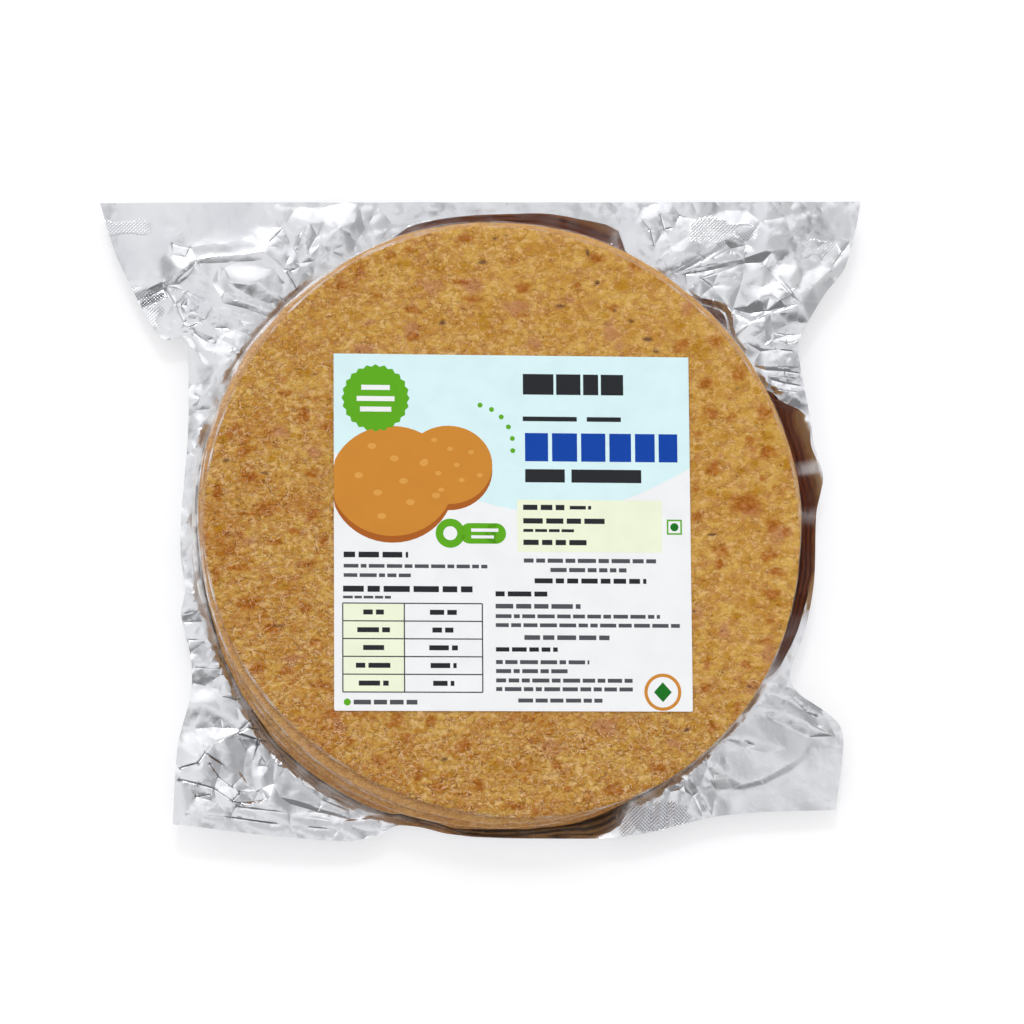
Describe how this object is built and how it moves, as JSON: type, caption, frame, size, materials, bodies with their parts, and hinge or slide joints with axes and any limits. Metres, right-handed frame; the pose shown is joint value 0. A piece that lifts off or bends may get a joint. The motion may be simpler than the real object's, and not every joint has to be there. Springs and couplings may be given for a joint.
{
  "type": "vacuum pack of khakhra flatbreads",
  "caption": "Flat vacuum pack of round thin khakhra flatbreads: clear front web over the stack, creased foil back web with a sealed skirt, and a square sticker on the front.",
  "frame": {"origin": "on the flat back of the foil web, below the middle of the top bread", "axes": "+Z out of the shown face, +Y towards the long seal at the top of the pouch, +X to the right as the pack is shown"},
  "size_m": [0.2328, 0.1964, 0.0172],
  "materials": {
    "foil": "bright metallised laminate, creased",
    "flatbread": "dry roasted dough, golden tan with darker roast patches",
    "sticker": "smooth coated paper with printed fields of colour",
    "clear_film": "clear glossy film"
  },
  "bodies": {
    "root": {"foil_back": "foil", "clear_front": "flatbread", "label": "sticker"}
  },
  "joints": []
}
